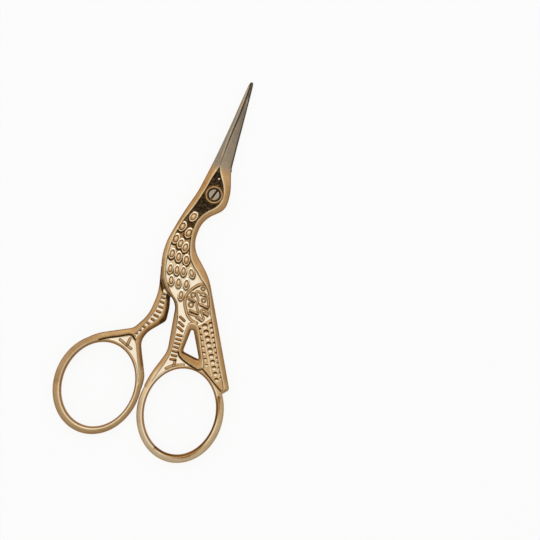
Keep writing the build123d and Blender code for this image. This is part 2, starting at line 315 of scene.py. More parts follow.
tail_tip = (*ring_points(1, 34.4, 2.05)[0], 0.20)
gusset = [(*ring_points(-1, 137, 1.0)[0], 0), (*ring_points(-1, 117, 1.25)[0], 0.45)]
front_figure = rounded(
    [root_right] + placed(nape) + [tail_tip] + along_ring(1, (31, 50, 70, 90, 110, 130, 150, 166))
    + placed(crotch) + placed(breast) + [root_left])
back_figure = rounded(
    [root_right] + placed(nape[:4]) + placed([(0.195, -0.461, 0.14)]) + placed(kneed_leg)
    + along_ring(-1, (10, 30, 48, 66, 84, 103, 122, 136)) + gusset + placed(hock) + placed(breast)
    + [root_left])
window_hole = rounded(placed(window_corners), 0.15)

# Blade edges and ridge: x at rising y for the upper blade. The lower one is its mirror image.
BLADE_SHIFT = 0.38
BLADE_Y = np.array([4.0, 9.29, 12.0, 16.0, 22.0, 28.0, 33.0, 34.6, 35.4])
BLADE_LEFT = np.array([-4.3, -3.366, -3.02, -2.55, -1.93, -1.40, -0.93, -0.75, -0.32])
BLADE_RIGHT = np.array([3.7, 2.0, 1.80, 1.48, 1.09, 0.64, 0.25, 0.08, -0.14])
RIDGE_Y = np.array([4.0, 8.6, 12.0, 17.0, 22.0, 25.0, 30.0, 33.5, 35.4])
RIDGE_X = np.array([-1.3, -1.2, -1.14, -1.0, -0.66, -0.44, -0.25, -0.24, -0.26])


def mirrored_x(x, y):
    """Swaps the sides of the blade, for the lower one."""
    return -x + np.interp(y, BLADE_Y, BLADE_LEFT + BLADE_RIGHT) + BLADE_SHIFT


def blade_outline(mirrored):
    ys = np.r_[np.arange(BLADE_START, 34.9, 0.3), np.arange(34.9, TIP_Y + 0.01, 0.06)]
    left = np.c_[np.interp(ys, BLADE_Y, BLADE_LEFT), ys]
    right = np.c_[np.interp(ys, BLADE_Y, BLADE_RIGHT), ys]
    loop = np.vstack([right, left[::-1]])
    if mirrored:
        loop[:, 0] = mirrored_x(*loop.T)
    return counter_clockwise(resampled(loop, 0.25, closed=True))


# Sunk fields, bounded by the inner edges of the rims
right_rim = [(-1.2, 8.7), (0.0, 6.3), (1.8, 3.5), (2.65, 1.0), (2.6, -1.5), (1.6, -3.5), (0.0, -5.1),
             (-1.5, -7.2), (-2.35, -9.8), (-2.45, -13.0), (-2.15, -15.0), (-1.7, -17.0),
             (-1.0, -19.0), (-0.1, -20.5), (1.3, -22.0), (3.1, -23.5), (4.7, -25.0)]
wing_rim = [(4.7, -25.0), (6.3, -26.1), (7.9, -28.0), (8.9, -30.0), (9.7, -32.0), (10.6, -34.0),
            (11.7, -36.0), (12.8, -38.0), (13.8, -40.0), (14.85, -42.0), (16.42, -45.0),
            (18.08, -48.0), (19.25, -50.0), (20.42, -52.0), (21.25, -53.5)]
tail_foot = [(21.25, -53.5), (20.8, -54.55), (18.0, -53.0), (15.0, -51.1), (13.4, -50.15)]
window_side = [(13.4, -50.15), (13.0, -48.3), (11.8, -46.0), (9.9, -42.1), (8.3, -39.0),
               (7.4, -38.25), (6.1, -38.2), (5.2, -38.8), (5.05, -41.0), (5.0, -44.0), (4.9, -47.6)]
window_foot = [(4.9, -47.6), (5.8, -48.85), (8.0, -49.85), (11.2, -50.65), (12.3, -50.75)]
left_rim = [(0.2, -58.0), (0.75, -56.0), (1.3, -54.0), (1.95, -52.0), (2.4, -50.0), (2.62, -48.0),
            (2.45, -45.0), (1.85, -41.0), (1.3, -38.0), (0.65, -36.0), (-0.1, -34.2), (-1.2, -33.0),
            (-3.0, -31.5), (-4.4, -30.0), (-5.7, -28.0), (-6.8, -25.0), (-7.55, -20.0),
            (-7.4, -15.0), (-6.3, -10.0), (-4.6, -5.0), (-3.2, 0.0), (-2.2, 5.0), (-1.2, 8.7)]


def crest_run(side, first, last):
    turns = np.linspace(first, last, 40)
    return [tuple(p) for p in ring_points(side, turns, CREST)]


front_field = loop_of(right_rim, wing_rim, tail_foot, window_side, window_foot,
                      crest_run(1, 86, 164), left_rim)
leg_field = loop_of(
    [(-3.75, -31.0), (-3.65, -33.0), (-3.3, -36.0), (-3.2, -38.8), (-4.2, -41.0), (-5.7, -43.0),
     (-6.95, -45.0), (-7.85, -47.0), (-8.2, -48.0)],
    [(-8.2, -48.0), (-10.0, -47.1)],
    [(-10.0, -47.1), (-9.3, -46.6), (-8.3, -44.9), (-7.1, -42.0), (-5.8, -38.0), (-5.3, -34.0),
     (-5.5, -31.0)],
    [(-5.5, -31.0), (-3.75, -31.0)])
web_field = loop_of(
    [(-10.2, -47.35), (-8.2, -48.5), (-7.55, -49.3), (-6.75, -51.0), (-5.4, -54.0), (-3.9, -57.5),
     (-3.15, -60.0)],
    crest_run(-1, 16, 146),
    [tuple(ring_points(-1, 146, CREST)[0]), (-22.1, -55.2), (-19.3, -52.2), (-16.5, -50.5),
     (-13.0, -48.75), (-10.2, -47.35)])
back_field = loop_of(
    [p for p in right_rim if p[1] > -23.0] + [(2.6, -23.4), (3.3, -24.4)],
    [(3.3, -24.4), (-3.2, -31.3), (-4.3, -30.9), (-5.1, -29.6), (-5.9, -28.0), (-6.8, -25.0),
     (-7.55, -20.0), (-7.4, -15.0), (-6.3, -10.0), (-4.6, -5.0), (-3.2, 0.0), (-2.2, 5.0),
     (-1.2, 8.7)])

# Ornament: places in millimetres, then how far each leans, in degrees
feathers = [
    (-3.71, -8.12, -18), (-5.89, -11.89, -14), (-3.49, -13.16, -11),
    (-6.55, -15.97, -8), (-4.79, -16.87, -6), (-3.07, -17.54, -2),
    (-6.19, -20.49, 0), (-4.04, -20.82, 10), (-1.59, -20.97, 14),
    (-5.29, -24.90, 12), (-3.27, -24.69, 12), (-1.32, -24.42, 16), (1.15, -24.17, 32),
    (-3.91, -28.14, 16), (-1.65, -28.08, 15), (0.72, -27.74, 12), (0.25, -31.36, 12),
]
leg_bars = [
    (2.9, -37.9, 2.3, -25), (3.1, -39.5, 2.3, -25), (3.3, -41.0, 2.3, -24),
    (3.65, -42.8, 1.9, 3), (3.75, -44.05, 1.9, 3), (3.85, -45.3, 1.9, 3), (3.9, -46.5, 1.9, 3),
    (3.95, -47.75, 1.9, 3), (4.05, -49.0, 1.9, 4), (4.15, -50.2, 2.1, 10),
]
kneed_bars = [
    (-4.6, -32.6, 1.1, -6), (-4.5, -33.75, 1.2, -6), (-4.4, -35.1, 1.4, -6), (-4.3, -36.6, 1.5, -5),
    (-4.45, -38.1, 1.7, -6), (-4.8, -39.5, 1.7, -8), (-5.2, -40.9, 1.6, -12),
    (-6.1, -42.4, 1.5, -14), (-7.0, -43.75, 1.3, -14), (-8.0, -45.0, 1.1, -16),
    (-8.7, -46.2, 1.1, -18), (-9.0, -47.3, 0.9, -24),
]
marks_front = [[(3.05, -53.4), (4.3, -52.25), (5.6, -51.5), (7.6, -50.75)], [(4.85, -50.5), (4.9, -51.9)]]
marks_back = [[(-12.6, -49.7), (-10.4, -50.6), (-8.7, -51.2)], [(-9.9, -48.5), (-10.1, -50.4)]]
wing_bound = [(6.1, -25.95), (5.2, -26.2), (4.3, -26.75), (3.4, -27.75), (2.65, -28.85), (2.02, -29.99),
              (1.76, -31.3), (1.96, -32.81), (2.43, -34.05), (3.23, -35.35), (4.04, -36.47),
              (5.2, -37.31), (6.36, -37.65), (7.4, -37.75)]
meander = [
    [(6.9, -28.75), (6.35, -28.6), (5.52, -28.95), (4.75, -28.6), (4.3, -29.1), (4.58, -29.82),
     (5.29, -30.63), (5.62, -31.39), (5.6, -32.46), (5.96, -33.37), (6.6, -34.2), (6.84, -34.91)],
    [(6.84, -34.95), (5.69, -34.85), (4.2, -34.75)],
    [(2.3, -31.3), (3.54, -31.4), (4.75, -31.75)],
    [(4.17, -35.75), (5.4, -35.84), (6.76, -35.73), (7.73, -36.05), (8.65, -36.66), (8.85, -35.9),
     (8.28, -35.04), (7.46, -33.92), (7.85, -33.3), (9.0, -33.35), (10.1, -33.7)],
    [(6.3, -32.1), (7.48, -32.16), (9.1, -32.31)],
    [(8.5, -34.2), (9.66, -34.5)],
    [(7.3, -29.1), (8.17, -29.83), (8.62, -30.71), (8.95, -31.9)],
]
wing_patch = counter_clockwise(np.array(wing_bound + [(9.0, -36.5), (10.6, -34.6), (8.6, -29.4)]))
# Painted shadow lines beside the wing's strokes.
wing_shadow_lines = [
    [(4.7, -27.07), (3.9, -27.8), (3.2, -28.75)], [(5.65, -29.6), (7.5, -29.55)],
    [(2.65, -31.98), (4.85, -32.25)], [(6.55, -32.62), (9.3, -32.83)],
    [(4.2, -35.2), (6.8, -35.4)], [(8.6, -34.62), (9.8, -34.95)], [(6.5, -36.35), (8.6, -37.05)],
]
tail_ridge = [(7.93, -38.39), (9.41, -36.84), (10.75, -35.1)]
eyelets = [(5.85, -27.42, 0.50), (3.64, -30.10, 0.58), (7.12, -30.70, 0.56), (3.95, -33.10, 0.66)]
tail_line = [(20.6, -54.6), (18.0, -53.05), (15.0, -51.15), (13.4, -50.2)]
web_crease = [(-18.5, -51.75), (-16.5, -50.5), (-13.0, -48.75), (-10.15, -47.3), (-8.3, -48.35)]
window_lip = [(6.05, -47.28), (8.5, -47.70), (11.35, -48.12)]
window_crease = [(4.9, -47.7), (5.8, -48.9), (8.0, -49.9), (11.2, -50.7), (12.3, -50.8), (13.3, -50.2)]


def dimple_row(first, last, count, radius):
    """Evenly spaced dimples, smaller towards the end of the row."""
    shares = np.linspace(0, 1, count)
    return [(first[0] + (last[0] - first[0]) * t, first[1] + (last[1] - first[1]) * t,
             radius * (1 - 0.22 * t)) for t in shares]


dimples = (dimple_row((10.02, -38.0), (18.45, -51.95), 10, 0.86)
           + dimple_row((8.80, -39.35), (14.15, -48.75), 7, 0.56)
           + dimple_row((11.45, -36.75), (19.6, -51.0), 12, 0.64))
tail_lines = [[(9.3, -38.5), (14.9, -48.3), (16.6, -51.2)], [(10.75, -37.2), (19.3, -52.1)]]

# Painted shade and light along edges and crevices: a line, how wide the painted band is, its tone and how
# dark it gets
EDGE_SHADING = {
    1: [
        ([(-6.6, -29.2), (-4.9, -31.6), (-3.4, -32.7)], 0.60, 0.16, 0.25),
        ([(0.2, -38.5), (1.0, -43.0), (1.4, -47.0), (1.35, -49.5), (0.8, -51.8), (-0.3, -54.5),
          (-1.0, -58.0), (-1.5, -60.0)], 0.95, 0.35, 0.0),
        ([(6.7, -47.9), (8.5, -48.5), (11.2, -49.2)], 1.0, 0.42, 0.16),
        ([(6.25, -46.9), (6.35, -41.2), (6.75, -40.5), (7.4, -40.4), (7.9, -41.0), (9.2, -43.5),
          (11.1, -47.3)], 0.95, 0.24, 0.05),
        ([(20.6, -56.6), (21.75, -61.0), (21.85, -65.0), (21.2, -69.5), (19.5, -73.5),
          (16.5, -76.5), (12.0, -77.6), (7.5, -76.8)], 0.62, 0.10, 0.10),
    ],
    -1: [
        ([(-6.9, -27.6), (-6.0, -29.9), (-4.6, -31.9), (-2.9, -33.3)], 1.05, 0.05, 0.80),
        ([(-2.6, -33.0), (-1.9, -36.0), (-1.7, -39.0), (-2.4, -40.7)], 1.15, 0.06, 0.62),
        ([(-2.4, -40.7), (-4.0, -42.9), (-5.6, -45.0), (-6.4, -47.5), (-5.7, -50.0), (-4.9, -52.2),
          (-3.4, -55.5)], 1.0, 0.24, 0.12),
        ([(-3.4, -55.5), (-2.1, -58.5), (-1.95, -63.0), (-2.0, -66.0), (-2.6, -70.0),
          (-4.0, -73.5)], 0.9, 0.47, 0.0),
        ([(-25.3, -58.0), (-25.5, -64.0), (-24.6, -69.0), (-22.5, -73.5)], 0.55, 0.32, 0.0),
        ([(-11.5, -47.6), (-16.0, -49.3), (-20.5, -52.4), (-24.4, -57.0), (-26.5, -62.0),
          (-26.6, -67.0)], 1.30, 0.56, 0.22),
    ],
}
CREASES = {
    1: [(tail_line, 0.22), (window_crease, 0.31), (window_lip, 0.17)],
    -1: [(web_crease, 0.30)],
}


# Paints shade and light along the listed edge lines, into tone and dark.
def shade_edges(points, side, tone, dark):
    for line, width, target, depth in EDGE_SHADING[side]:
        line = curve(line, 0.3)
        d = distance(points, [line], closed=False)
        w = 1 - smooth(0.40 * width, 1.05 * width, d)
        tone = tone * (1 - w) + target * w
        dark = np.maximum(dark, depth * w)
    return tone, dark


# Relief of a face: how far each point lies below the crest, and its tone
# Tone runs from 0, painted shade in the hollows, through 0.5, the satin rims with painted shade on their
# slopes, to 1, the polished fields.

def stroke(points, up, line, width, height):
    """Raises a stroke with rounded shoulders."""
    line = curve(line, 0.15)
    low, high = line.min(0) - width, line.max(0) + width
    near = np.flatnonzero(((points > low) & (points < high)).all(1))
    if len(near):
        d = distance(points[near], [line], closed=False)
        rise = height * (1 - smooth(0.28, 0.66, d / width))
        up[near] = np.maximum(up[near], rise)
        return near, d
    return near, np.zeros(0)


# The direction that is up in the camera's frame
UP = np.array([-0.3217, 0.9469])


def ornament(points, feather_list, lines, bars, rings, bowls):
    """Height of the ornament above its field, its tone, how dark it is, and how much of it there is."""
    up = np.zeros(len(points))
    tone = np.full(len(points), 1.0)
    dark = np.zeros(len(points))
    cover = np.zeros(len(points))
    if bowls:
        tail = ((points - tail_ridge[0]) @ [0.756, -0.654] > 0) & (points[:, 1] < -34.5)
        tail &= (points - [7.6, -38.6]) @ unit(np.array([1.0, 0.52])) > -0.6
        within = inside(points, wing_patch)
        tone[within] = 0.88
        tone[tail] = 0.45
        for x, y, radius in bowls:
            rel = points - [x, y]
            near = np.flatnonzero(np.hypot(*rel.T) < 2.2 * radius)
            rho = np.hypot(*rel[near].T) / radius
            high = (rel[near] @ UP) / radius
            bowl = 1 - smooth(0.55, 1.05, rho)
            lip = np.exp(-((rho - 1.22) / 0.22) ** 2)
            up[near] += -0.17 * bowl + 0.05 * lip
            # Painted light in each dimple: its lower side painted lit, its upper side and a thin ring at
            # its rim painted in shade, as if lit from the top of the frame.
            lit = 1 - smooth(-0.20, 0.30, high + 0.10 * rho)
            change = bowl * (0.80 * lit - 0.22) + 0.22 * lip * smooth(0.5, -0.5, high)
            tone[near] = np.clip(tone[near] + change, 0, 1)
            shade = np.exp(-((rho - 0.80) / 0.30) ** 2) * smooth(0.05, 0.50, high)
            rest = 0.30 * np.exp(-((rho - 0.92) / 0.12) ** 2)
            dark[near] = np.maximum(dark[near], np.maximum(shade, rest))
        # A painted highlight along the crest of each tail line.
        for line in tail_lines + [tail_ridge]:
            near, d = stroke(points, up, line, 0.30, 0.07)
            tone[near] = np.maximum(tone[near], 0.50 + 0.36 * np.exp(-(d / 0.16) ** 2))
        # Painted shadow along the lower side of the wing's strokes.
        for line in wing_shadow_lines:
            line = curve(line, 0.2)
            d = distance(points, [line], closed=False)
            dark = np.maximum(dark, 0.95 * (1 - smooth(0.10, 0.25, d)))
    for line, width, shadow in lines:
        near, d = stroke(points, up, line, width, 0.21)
        # A painted highlight on each stroke's crown and painted shadow beside it.
        crown = 0.36 + 0.22 * np.exp(-(d / (0.18 * width)) ** 2)
        tone[near] = np.where(d < 0.46 * width, crown, tone[near])
        dark[near] = np.maximum(dark[near], shadow * np.exp(-((d / width - 0.53) / 0.12) ** 2))
    for x, y, length, lean in bars:
        half = (length - 0.7) / 2
        u = np.array([cos(radians(lean)), sin(radians(lean))])
        near, d = stroke(points, up, [np.array([x, y]) - u * half, np.array([x, y]) + u * half],
                         0.66, 0.22)
        # Painted shadow round each bar, darker on its lower side.
        below = -((points[near] - [x, y]) @ np.array([-u[1], u[0]]))
        tone[near] = np.where(d < 0.34, 0.27, tone[near])
        shade = np.exp(-((d - 0.34) / 0.12) ** 2) * np.where(below > 0.05, 1.0, 0.45)
        dark[near] = np.maximum(dark[near], shade)
    for x, y, lean in feather_list:
        a, b = (1.14, 1.74) if y > -14 else (1.05, 1.74) if y > -22 else (0.93, 1.70)
        rel = points - [x, y]
        near = np.flatnonzero(np.hypot(*rel.T) < 2.6)
        c, s = cos(radians(lean)), sin(radians(lean))
        u = (rel[near] @ [c, s]) / a
        v = (rel[near] @ [-s, c]) / b
        e = np.hypot(u, v)
        low_side = smooth(-0.2, 0.8, -v + 0.15 * u)
        plate = (0.11 + 0.10 * np.clip(-v, -1, 1)) * (1 - smooth(0.92, 1.04, e))
        bead = 0.06 * np.exp(-((e - 0.84) / 0.12) ** 2)
        core = 0.08 * (1 - smooth(0.10, 0.60, e))
        over = 1 - smooth(0.96, 1.03, e)
        up[near] = np.where(over > 0.5, plate + bead + core, np.maximum(up[near], plate + bead + core))
        # Painted light on the feather: its rim painted darker on the lower side, a painted highlight on
        # its core, and a dark painted line for the shade in the groove between bead and core.
        rim = 1.0 - 0.30 * low_side
        inner = 0.46 + 0.44 * (1 - smooth(0.02, 0.34, np.hypot(u + 0.05, v - 0.05)))
        face = inner + (rim - inner) * smooth(0.62, 0.76, e)
        line = np.exp(-((e - 0.62) / 0.09) ** 2)
        face = face - 0.50 * line
        tone[near] = tone[near] * (1 - over) + face * over
        cover[near] = np.maximum(cover[near], over)
        # Painted shadow round the feather, strongest on its lower side and in the upper rows.
        strong = 1.15 if y > -22 else 0.95 if y > -26 else 0.75
        contour_shadow = np.exp(-((e - 1.09) / 0.12) ** 2) * (0.25 + 0.80 * low_side)
        around = strong * smooth(1.42, 1.10, e) * smooth(0.15, 0.8, low_side)
        shade = np.maximum(around * (1 - over), 0.72 * line * over)
        dark[near] = np.maximum(dark[near] * (1 - over), np.maximum(strong * contour_shadow, shade))
    for x, y, radius in rings:
        d = np.hypot(*(points - [x, y]).T)
        near = np.flatnonzero(d < 1.3)
        d = d[near]
        rise = 0.20 * np.exp(-((d - radius) / 0.17) ** 2)
        up[near] = np.maximum(up[near], rise)
        # Each raised ring painted in a mid tone, with painted shade lines just outside and inside it.
        tone[near] = np.where(np.abs(d - radius) < 0.19, 0.36, tone[near])
        dark[near] = np.maximum(dark[near], 0.60 * np.exp(-((d - radius - 0.26) / 0.09) ** 2))
        dark[near] = np.maximum(dark[near], 0.45 * np.exp(-((d - radius + 0.26) / 0.08) ** 2))
    return up, tone, dark, cover


NAPE_LINE = curve([p for p in right_rim if p[1] < -8.0] + wing_rim[1:3])


def relief(points, side, edges, bore, fields, extra):
    """Drop below the crest and tone for one face. edges are the outline and the window."""
    crest = ring_loop(side, CREST)
    d_edge = distance(points, edges)
    d_bore = distance(points, [bore])
    d_crest = distance(points, [crest])
    in_crest = inside(points, crest)
    d_field = distance(points, fields)
    in_field = np.zeros(len(points), bool)
    for field in fields:
        in_field |= inside(points, field)
    in_field &= ~in_crest
    ridge = np.minimum(d_crest, d_field)
    low = smooth(50.0, 57.0, -points[:, 1])
    lip = 0.50 + 0.10 * low
    t = np.where(in_crest, d_bore / (d_bore + d_crest + 1e-9), d_edge / (d_edge + ridge + 1e-9))
    slope = np.where(in_crest, 0.42, lip) * (1 - t) ** 1.25
    near_edge = np.where(in_crest, d_bore, np.minimum(d_edge, 9))
    turn = np.clip(1 - near_edge / 0.30, 0, 1)
    slope = slope + 0.22 * (1 - np.sqrt(np.clip(1 - turn ** 2, 0, 1)))
    slope[in_field] = 0
    # A painted highlight along the inner crest of the rims, over the upper part of the figure.
    upper = np.maximum(smooth(-34.0, -27.0, points[:, 1]), smooth(4.0, 6.0, points[:, 0]))
    pale = np.where(in_field, 0, np.exp(-(d_field / 0.26) ** 2)) * upper * (1 - low)
    y = points[:, 1]
    # Painted shade along the rounded outer edge.
    outline_shade = np.exp(-(d_edge / 0.26) ** 2)
    lower = smooth(66.0, 77.0, -y)
    body = 0.08 * smooth(0.0, -4.0, points[:, 0]) * smooth(-16.0, -10.0, y)
    tone = 0.41 + 0.05 * smooth(0.55, 1.0, t) + 0.40 * pale - 0.16 * outline_shade - body
    # The rings' zone painted lighter, more so at the bottom of the rings, to brighten their dimmer
    # reflection.
    tone = tone + low * (0.07 + 0.17 * (side == 1)) * (1 + 0.5 * lower)
    # The rings' inner slope painted darker towards the bore, as painted shade.
    tone = np.where(in_crest, 0.47 - 0.22 * np.exp(-(d_bore / 0.34) ** 2), tone)
    tone, edge_dark = shade_edges(points, side, tone, np.zeros(len(points)))
    # A painted highlight along the rings' crest.
    tone = tone + 0.42 * low * np.exp(-(d_crest / 0.15) ** 2)
    if side == 1:
        shallow = smooth(38.0, 43.0, -y) * (1 - smooth(9.0, 12.5, points[:, 0]))
    else:
        shallow = smooth(28.0, 36.0, -y)
    sunk = np.where(in_field, np.clip(d_field / (0.32 + 0.12 * shallow), 0, 1), 0)
    sunk = sunk * sunk * (3 - 2 * sunk)
    up, field_tone, field_dark, cover = ornament(points, *extra)
    depth = RECESS - 0.12 * shallow
    drop = slope + (depth - up * depth / RECESS) * sunk
    # Painted shade on the field's floor: dark near the head and between the upper feather rows, lighter
    # at the neck's left edge.
    floor_tone = np.interp(-y, [4.0, 10.6, 14.0, 18.0, 21.0, 24.0, 27.0],
                           [0.38, 0.34, 0.44, 0.53, 0.63, 0.85, 1.0])
    floor_tone = floor_tone + 0.35 * smooth(-5.8, -6.9, points[:, 0]) * smooth(-15.0, -18.0, y)
    field_tone = np.where(cover > 0.5, field_tone, np.minimum(field_tone, floor_tone))
    tone = np.where(in_field, field_tone * sunk + tone * (1 - sunk), tone)
    # Painted shadow along the foot of the nape rim.
    d_nape = distance(points, [NAPE_LINE], closed=False)
    rim_foot_shadow = np.where(in_field & (d_nape < 1.0), np.exp(-((d_field - 0.30) / 0.17) ** 2), 0)
    # The head panel painted nearly black as a dark reflection, fading down the neck.
    floor_dark = np.interp(-y, [6.0, 10.0, 13.0, 19.0], [0.98, 0.76, 0.34, 0.0]) * (1 - cover)
    dark = np.maximum(np.where(in_field, np.maximum(field_dark, floor_dark) * sunk, 0), 0.55 * rim_foot_shadow)
    dark = np.maximum(dark, np.where(in_field, edge_dark * (1 - sunk), edge_dark))
    # Grooves along the creases, with painted shadow in them.
    for line, width in CREASES[side]:
        d = distance(points, [curve(line, 0.2)], closed=False)
        groove = np.exp(-(d / width) ** 2)
        drop = drop + 0.14 * groove
        dark = np.maximum(dark, np.exp(-(d / (0.85 * width)) ** 4))
    return drop, tone, dark, in_field, d_field


def head_parts(points, drop, tone, dark):
    """The boss round the pivot, its ring painted with a highlight and its edges with painted shade lines,
    and a small pip on the head panel painted as a glint.
    """
    r = np.hypot(*points.T)
    boss = r < 2.86
    ring = np.exp(-((r - 2.38) / 0.12) ** 2)
    rise = RECESS - 0.10 - 0.24 * smooth(2.62, 2.84, r) + 0.08 * ring
    drop = np.where(boss, np.minimum(drop, RECESS - rise), drop)
    tone = np.where(boss, 0.22 + 0.34 * ring, tone)
    lines = np.maximum(0.60 * np.exp(-((r - 2.14) / 0.08) ** 2),
                       0.85 * np.exp(-((r - 2.66) / 0.10) ** 2))
    dark = np.where(boss, np.maximum(lines, 0.30 * (1 - ring)), dark)
    # A small raised pip painted bright as a glint.
    glint_pip = np.hypot(*((points - GLINT) / [0.30, 0.20]).T)
    drop = drop - 0.10 * (1 - smooth(0.3, 1.0, glint_pip))
    tone = np.where(glint_pip < 1.0, 1.0, tone)
    dark = np.where(glint_pip < 1.0, 0.0, dark)
    return drop, tone, dark


def blade_height(points, mirrored):
    """Height of the blade's outer face above its flat inner face."""
    x, y = points.T
    left, right = np.interp(y, BLADE_Y, BLADE_LEFT), np.interp(y, BLADE_Y, BLADE_RIGHT)
    if mirrored:
        x = mirrored_x(x, y)
    ridge = np.interp(y, RIDGE_Y, RIDGE_X)
    s = np.clip((y - 8.5) / 26.0, 0, 1)
    top = 1.72 + (0.80 - 1.72) * s
    spine = 1.28 + (0.50 - 1.28) * s
    edge = 0.45 + (0.14 - 0.45) * s
    out = np.where(x < ridge,
                   spine + (top - spine) * np.clip((x - left) / (ridge - left + 1e-6), 0, 1),
                   edge + (top - edge) * np.clip((right - x) / (right - ridge + 1e-6), 0, 1) ** 0.9)
    nose = smooth(33.9, TIP_Y, y)
    return out * (1 - 0.55 * nose)


class Half:
    def __init__(self, name, side, figure, other, mirrored, holes, fields_top, fields_low, extra):
        self.name, self.side, self.other, self.mirrored = name, side, other, mirrored
        self.extra = extra
        self.fields = {"top": fields_top, "low": fields_low}
        self.blade = blade_outline(mirrored)
        bore = ring_loop(side, 0)
        self.loops = union_loops([figure, ring_loop(side, OUTER), self.blade], [bore] + holes)
        self.outer = self.loops[0]
        self.bore = bore
        self.edges = [self.outer] + ([window_hole] if side == 1 else [])

    def face(self, points, which, is_lap):
        """Height from the floor, tone and dark for the upper or lower face."""
        drop, tone, dark, in_field, d_field = relief(
            points, self.side, self.edges, self.bore, self.fields[which], self.extra[which])
        own = (self.side == 1) == (which == "top")
        if own:
            drop, tone, dark = head_parts(points, drop, tone, dark)
        y = points[:, 1]
        level = THICK - drop
        if own:
            inner = FRONT_INNER if self.side == 1 else THICK - BACK_INNER
            sunk = np.where(in_field, smooth(0.0, 0.30, d_field), 0) * RECESS
            blade = inner + blade_height(points, self.mirrored) - sunk
            mix = smooth(5.0, 11.5, y)
            level = level * (1 - mix) + blade * mix
        if own:
            ridge = np.interp(y, RIDGE_Y, RIDGE_X)
            across = points[:, 0]
            if self.mirrored:
                across = mirrored_x(across, y)
            gap = across - ridge
            width = np.interp(y, [9.0, 16.0, 24.0, 33.0], [0.12, 0.19, 0.26, 0.22])
            strength = np.interp(y, [8.6, 9.6, 16.0, 22.0], [0.0, 0.62, 0.90, 1.0])
            # Blade: the left facet painted darker than the right, painted highlights on the rails beside
            # the ridge, painted shade in the ridge groove and on the right near the tip.
            rail_highlight = np.exp(-((np.abs(gap) - width - 0.17) / 0.13) ** 2) * smooth(9.0, 13.0, y)
            tip = 0.78 * (gap > 0) * smooth(29.0, 31.5, y) * (1 - smooth(34.2, 35.0, y))
            dark = np.where(y > 9.0, 0, dark)
            dark = np.maximum(dark, np.maximum(strength * np.exp(-(gap / width) ** 2), tip))
            facet = np.where(gap < 0, 0.26, 0.60)
            facet = facet + (1 - facet) * rail_highlight * 0.85
            up_blade = smooth(7.0, 10.0, y)
            tone = tone * (1 - up_blade) + facet * up_blade
        steel = smooth(5.6, 9.6, y)
        d_wall = distance(points, self.edges)
        inner = FRONT_INNER if self.side == 1 else THICK - BACK_INNER
        lap = THICK - inner + 0.07 * np.clip(1 - d_wall / 0.12, 0, 1)
        if which == "top":
            height = np.where(is_lap, THICK - lap, level)
        else:
            height = np.where(is_lap, lap, THICK - level)
        ground = 0.52 + 0.06 * np.sin(8.0 * np.hypot(*points.T)) * smooth(3.0, 6.0, -y)
        # On the lap faces the steel is painted in shade; elsewhere, below the head, the painted shade
        # also lowers the tone.
        tone = np.where(is_lap, ground * (1 - 0.80 * steel), tone - 0.50 * dark * (y < -10.0))
        dark = np.where(is_lap, 0.70 * steel, dark)
        return height, np.clip(tone, 0, 1), np.clip(dark, 0, 1), steel


def offset_line(loop, gap):
    """A line gap outside a counter-clockwise loop, without the places where it would cross itself."""
    line = loop - normals(loop) * gap
    return line[distance(line, [loop]) > gap - 0.012]


def build(name, loops, rows, constrained, top, low):
    """One closed mesh from loops in plan and the heights of its upper and lower faces."""
    verts, faces, edges = [], [], []
    for loop in map(counter_clockwise, loops):
        faces.append(list(range(len(verts), len(verts) + len(loop))))
        verts += loop.tolist()
    for line in constrained:
        first = len(verts)
        verts += line.tolist()
        edges += [(first + i, first + (i + 1) % len(line)) for i in range(len(line))]
    verts += rows.tolist()
    co, _, tris, _, _, source = delaunay_2d_cdt([Vector(p) for p in verts], edges, faces, 1, 1e-5)
    co = np.array([p[:] for p in co])
    kept = np.array([t for t, s in zip(tris, source) if s == [0]])
    used, index = np.unique(kept.ravel(), return_inverse=True)
    co, kept = co[used], index.reshape(-1, 3)
    upper, up_tone, up_dark, up_steel = top(co)
    lower, low_tone, low_dark, low_steel = low(co)
    n = len(co)
    pts = np.vstack([np.c_[co, upper], np.c_[co, lower]]) * MM
    pairs = np.vstack([kept[:, [0, 1]], kept[:, [1, 2]], kept[:, [2, 0]]])
    keys = pairs[:, 0] * n + pairs[:, 1]
    back = pairs[:, 1] * n + pairs[:, 0]
    rim = pairs[~np.isin(back, keys)]
    walls = np.c_[rim[:, 0] + n, rim[:, 1] + n, rim[:, 1], rim[:, 0]]
    polys = [tuple(t) for t in kept.tolist()]
    polys += [(t[0] + n, t[2] + n, t[1] + n) for t in kept.tolist()]
    polys += [tuple(q) for q in walls.tolist()]
    mesh = bpy.data.meshes.new(name)
    mesh.from_pydata(pts.tolist(), [], polys)
    for key, a, b in (("tone", up_tone, low_tone), ("dark", up_dark, low_dark),
                      ("steel", up_steel, low_steel)):
        layer = mesh.attributes.new(key, "FLOAT", "POINT")
        layer.data.foreach_set("value", np.r_[a, b].astype(np.float32))
    mesh.validate()
    mesh.shade_smooth()
    mesh.set_sharp_from_angle(angle=radians(48))
    piece = bpy.data.objects.new(name, mesh)
    bpy.context.scene.collection.objects.link(piece)
    return piece


def plain_panel(points):
    """Where the head panel carries no ornament."""
    return (points[:, 1] > -8.2) & (np.hypot(*(points - GLINT).T) > 0.6)


